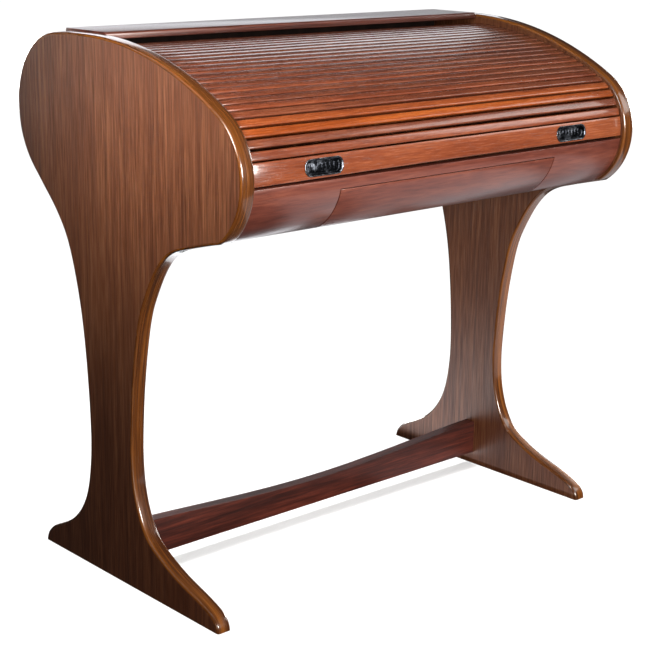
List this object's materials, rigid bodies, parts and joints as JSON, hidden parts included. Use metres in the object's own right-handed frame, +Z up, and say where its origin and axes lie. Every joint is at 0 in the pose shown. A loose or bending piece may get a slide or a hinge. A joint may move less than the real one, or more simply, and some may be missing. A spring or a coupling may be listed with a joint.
{
  "type": "roll top desk",
  "caption": "Roll top writing desk with shaped end panels, curved fascia drawer, slatted tambour lid with recessed pulls, and a low stretcher",
  "frame": {"origin": "middle of the desk's outline in plan, on the floor", "axes": "X across the desk with +X at the right hand of the sitter, -Y towards the sitter, +Z up"},
  "size_m": [0.965, 0.64, 0.972],
  "materials": {
    "panel_veneer": "satin veneer with straight upright grain",
    "lipping_wood": "glossy solid lipping",
    "tambour_wood": "glossy reddish slats",
    "fascia_wood": "glossy reddish brown figured wood",
    "rail_wood": "glossy dark wood",
    "interior_wood": "satin veneer",
    "underside_wood": "sealed dull wood",
    "stretcher_wood": "satin reddish brown wood",
    "secondary_wood": "bare pale wood",
    "drawer_box_wood": "sealed pale wood",
    "dark_metal": "hammered dark pewter",
    "screw_brass": "aged brass"
  },
  "bodies": {
    "frame": {"end_panel_left": "panel_veneer", "end_panel_right": "panel_veneer", "edge_lipping_left": "lipping_wood", "edge_lipping_right": "lipping_wood", "top_rail": "rail_wood", "back_panel": "panel_veneer", "back_panel_screws": "screw_brass", "bottom_board": "underside_wood", "bottom_board_screws": "screw_brass", "front_fascia": "fascia_wood", "writing_top": "interior_wood", "inner_back": "interior_wood", "organiser_top": "interior_wood", "organiser_ends": "interior_wood", "organiser_dividers": "interior_wood", "glue_blocks": "secondary_wood", "drawer_guide_left": "secondary_wood", "drawer_guide_right": "secondary_wood", "drawer_wear_strips": "secondary_wood", "stretcher": "stretcher_wood", "stretcher_dowels": "secondary_wood"},
    "drawer": {"drawer_front": "fascia_wood", "drawer_side_left": "drawer_box_wood", "drawer_side_right": "drawer_box_wood", "drawer_back": "drawer_box_wood", "drawer_bottom": "drawer_box_wood"},
    "lead_rail": {"lead_rail": "tambour_wood", "tambour_slat_01": "tambour_wood", "pull_left": "dark_metal", "pull_right": "dark_metal"},
    "tambour_slat_02": {"tambour_slat_02": "tambour_wood"},
    "tambour_slat_03": {"tambour_slat_03": "tambour_wood"},
    "tambour_slat_04": {"tambour_slat_04": "tambour_wood"},
    "tambour_slat_05": {"tambour_slat_05": "tambour_wood"},
    "tambour_slat_06": {"tambour_slat_06": "tambour_wood"},
    "tambour_slat_07": {"tambour_slat_07": "tambour_wood"},
    "tambour_slat_08": {"tambour_slat_08": "tambour_wood"},
    "tambour_slat_09": {"tambour_slat_09": "tambour_wood"},
    "tambour_slat_10": {"tambour_slat_10": "tambour_wood"},
    "tambour_slat_11": {"tambour_slat_11": "tambour_wood"},
    "tambour_slat_12": {"tambour_slat_12": "tambour_wood"},
    "tambour_slat_13": {"tambour_slat_13": "tambour_wood"},
    "tambour_slat_14": {"tambour_slat_14": "tambour_wood"},
    "tambour_slat_15": {"tambour_slat_15": "tambour_wood"},
    "tambour_slat_16": {"tambour_slat_16": "tambour_wood"},
    "tambour_slat_17": {"tambour_slat_17": "tambour_wood"},
    "tambour_slat_18": {"tambour_slat_18": "tambour_wood"},
    "tambour_slat_19": {"tambour_slat_19": "tambour_wood"},
    "tambour_slat_20": {"tambour_slat_20": "tambour_wood"},
    "tambour_slat_21": {"tambour_slat_21": "tambour_wood"},
    "tambour_slat_22": {"tambour_slat_22": "tambour_wood"},
    "tambour_slat_23": {"tambour_slat_23": "tambour_wood"},
    "tambour_slat_24": {"tambour_slat_24": "tambour_wood"}
  },
  "joints": [
    {"name": "tambour_open", "type": "hinge", "parent": "frame", "child": "lead_rail", "pos_m": [0, -0.0325, 0.65431], "axis": [-1, 0, 0], "range_deg": [0, 78.6]},
    {"name": "slat_02_turn", "type": "hinge", "parent": "frame", "child": "tambour_slat_02", "pos_m": [0, -0.02407, 0.63024], "axis": [-1, 0, 0], "range_deg": [0, 72.96]},
    {"name": "slat_03_turn", "type": "hinge", "parent": "frame", "child": "tambour_slat_03", "pos_m": [0, -0.02272, 0.62547], "axis": [-1, 0, 0], "range_deg": [0, 71.95]},
    {"name": "slat_04_turn", "type": "hinge", "parent": "frame", "child": "tambour_slat_04", "pos_m": [0, -0.0216, 0.62052], "axis": [-1, 0, 0], "range_deg": [0, 70.93]},
    {"name": "slat_05_turn", "type": "hinge", "parent": "frame", "child": "tambour_slat_05", "pos_m": [0, -0.02072, 0.61541], "axis": [-1, 0, 0], "range_deg": [0, 69.92]},
    {"name": "slat_06_turn", "type": "hinge", "parent": "frame", "child": "tambour_slat_06", "pos_m": [0, -0.02181, 0.62519], "axis": [-1, 0, 0], "range_deg": [0, 71.89]},
    {"name": "slat_07_turn", "type": "hinge", "parent": "frame", "child": "tambour_slat_07", "pos_m": [0, -0.02389, 0.65648], "axis": [-1, 0, 0], "range_deg": [0, 78.97]},
    {"name": "slat_08_turn", "type": "hinge", "parent": "frame", "child": "tambour_slat_08", "pos_m": [0, -0.02412, 0.68301], "axis": [-1, 0, 0], "range_deg": [0, 86.05]},
    {"name": "slat_09_turn", "type": "hinge", "parent": "frame", "child": "tambour_slat_09", "pos_m": [0, -0.0229, 0.70571], "axis": [-1, 0, 0], "range_deg": [0, 93.13]},
    {"name": "slat_10_turn", "type": "hinge", "parent": "frame", "child": "tambour_slat_10", "pos_m": [0, -0.02052, 0.7253], "axis": [-1, 0, 0], "range_deg": [0, 100.22]},
    {"name": "slat_11_turn", "type": "hinge", "parent": "frame", "child": "tambour_slat_11", "pos_m": [0, -0.01719, 0.74227], "axis": [-1, 0, 0], "range_deg": [0, 107.3]},
    {"name": "slat_12_turn", "type": "hinge", "parent": "frame", "child": "tambour_slat_12", "pos_m": [0, -0.01308, 0.75702], "axis": [-1, 0, 0], "range_deg": [0, 114.38]},
    {"name": "slat_13_turn", "type": "hinge", "parent": "frame", "child": "tambour_slat_13", "pos_m": [0, -0.00831, 0.76983], "axis": [-1, 0, 0], "range_deg": [0, 121.47]},
    {"name": "slat_14_turn", "type": "hinge", "parent": "frame", "child": "tambour_slat_14", "pos_m": [0, -0.003, 0.78092], "axis": [-1, 0, 0], "range_deg": [0, 128.55]},
    {"name": "slat_15_turn", "type": "hinge", "parent": "frame", "child": "tambour_slat_15", "pos_m": [0, 0.00278, 0.79047], "axis": [-1, 0, 0], "range_deg": [0, 135.63]},
    {"name": "slat_16_turn", "type": "hinge", "parent": "frame", "child": "tambour_slat_16", "pos_m": [0, 0.00895, 0.7986], "axis": [-1, 0, 0], "range_deg": [0, 142.72]},
    {"name": "slat_17_turn", "type": "hinge", "parent": "frame", "child": "tambour_slat_17", "pos_m": [0, 0.01545, 0.80542], "axis": [-1, 0, 0], "range_deg": [0, 149.8]},
    {"name": "slat_18_turn", "type": "hinge", "parent": "frame", "child": "tambour_slat_18", "pos_m": [0, 0.02222, 0.81101], "axis": [-1, 0, 0], "range_deg": [0, 156.88]},
    {"name": "slat_19_turn", "type": "hinge", "parent": "frame", "child": "tambour_slat_19", "pos_m": [0, 0.02922, 0.81542], "axis": [-1, 0, 0], "range_deg": [0, 163.97]},
    {"name": "slat_20_turn", "type": "hinge", "parent": "frame", "child": "tambour_slat_20", "pos_m": [0, 0.0364, 0.81869], "axis": [-1, 0, 0], "range_deg": [0, 171.05]},
    {"name": "slat_21_turn", "type": "hinge", "parent": "frame", "child": "tambour_slat_21", "pos_m": [0, 0.04373, 0.82086], "axis": [-1, 0, 0], "range_deg": [0, 178.13]},
    {"name": "slat_22_turn", "type": "hinge", "parent": "frame", "child": "tambour_slat_22", "pos_m": [0, 0.04949, 0.8217], "axis": [-1, 0, 0], "range_deg": [0, 183.63]},
    {"name": "slat_23_turn", "type": "hinge", "parent": "frame", "child": "tambour_slat_23", "pos_m": [0, 0.04632, 0.82175], "axis": [-1, 0, 0], "range_deg": [0, 180.62]},
    {"name": "slat_24_turn", "type": "hinge", "parent": "frame", "child": "tambour_slat_24", "pos_m": [0, 0.0375, 0.82309], "axis": [-1, 0, 0], "range_deg": [0, 172.27]},
    {"name": "drawer_slide", "type": "slide", "parent": "frame", "child": "drawer", "axis": [0, -1, 0], "range_m": [0, 0.22]}
  ],
  "couplings": [
    {"joint": "slat_02_turn", "follows": "tambour_open", "ratio": 0.92823},
    {"joint": "slat_03_turn", "follows": "tambour_open", "ratio": 0.91533},
    {"joint": "slat_04_turn", "follows": "tambour_open", "ratio": 0.90242},
    {"joint": "slat_05_turn", "follows": "tambour_open", "ratio": 0.88951},
    {"joint": "slat_06_turn", "follows": "tambour_open", "ratio": 0.91461},
    {"joint": "slat_07_turn", "follows": "tambour_open", "ratio": 1.0046},
    {"joint": "slat_08_turn", "follows": "tambour_open", "ratio": 1.0947},
    {"joint": "slat_09_turn", "follows": "tambour_open", "ratio": 1.1849},
    {"joint": "slat_10_turn", "follows": "tambour_open", "ratio": 1.275},
    {"joint": "slat_11_turn", "follows": "tambour_open", "ratio": 1.3651},
    {"joint": "slat_12_turn", "follows": "tambour_open", "ratio": 1.4552},
    {"joint": "slat_13_turn", "follows": "tambour_open", "ratio": 1.5453},
    {"joint": "slat_14_turn", "follows": "tambour_open", "ratio": 1.6354},
    {"joint": "slat_15_turn", "follows": "tambour_open", "ratio": 1.7256},
    {"joint": "slat_16_turn", "follows": "tambour_open", "ratio": 1.8157},
    {"joint": "slat_17_turn", "follows": "tambour_open", "ratio": 1.9058},
    {"joint": "slat_18_turn", "follows": "tambour_open", "ratio": 1.9959},
    {"joint": "slat_19_turn", "follows": "tambour_open", "ratio": 2.086},
    {"joint": "slat_20_turn", "follows": "tambour_open", "ratio": 2.1762},
    {"joint": "slat_21_turn", "follows": "tambour_open", "ratio": 2.2663},
    {"joint": "slat_22_turn", "follows": "tambour_open", "ratio": 2.3362},
    {"joint": "slat_23_turn", "follows": "tambour_open", "ratio": 2.298},
    {"joint": "slat_24_turn", "follows": "tambour_open", "ratio": 2.1918}
  ]
}
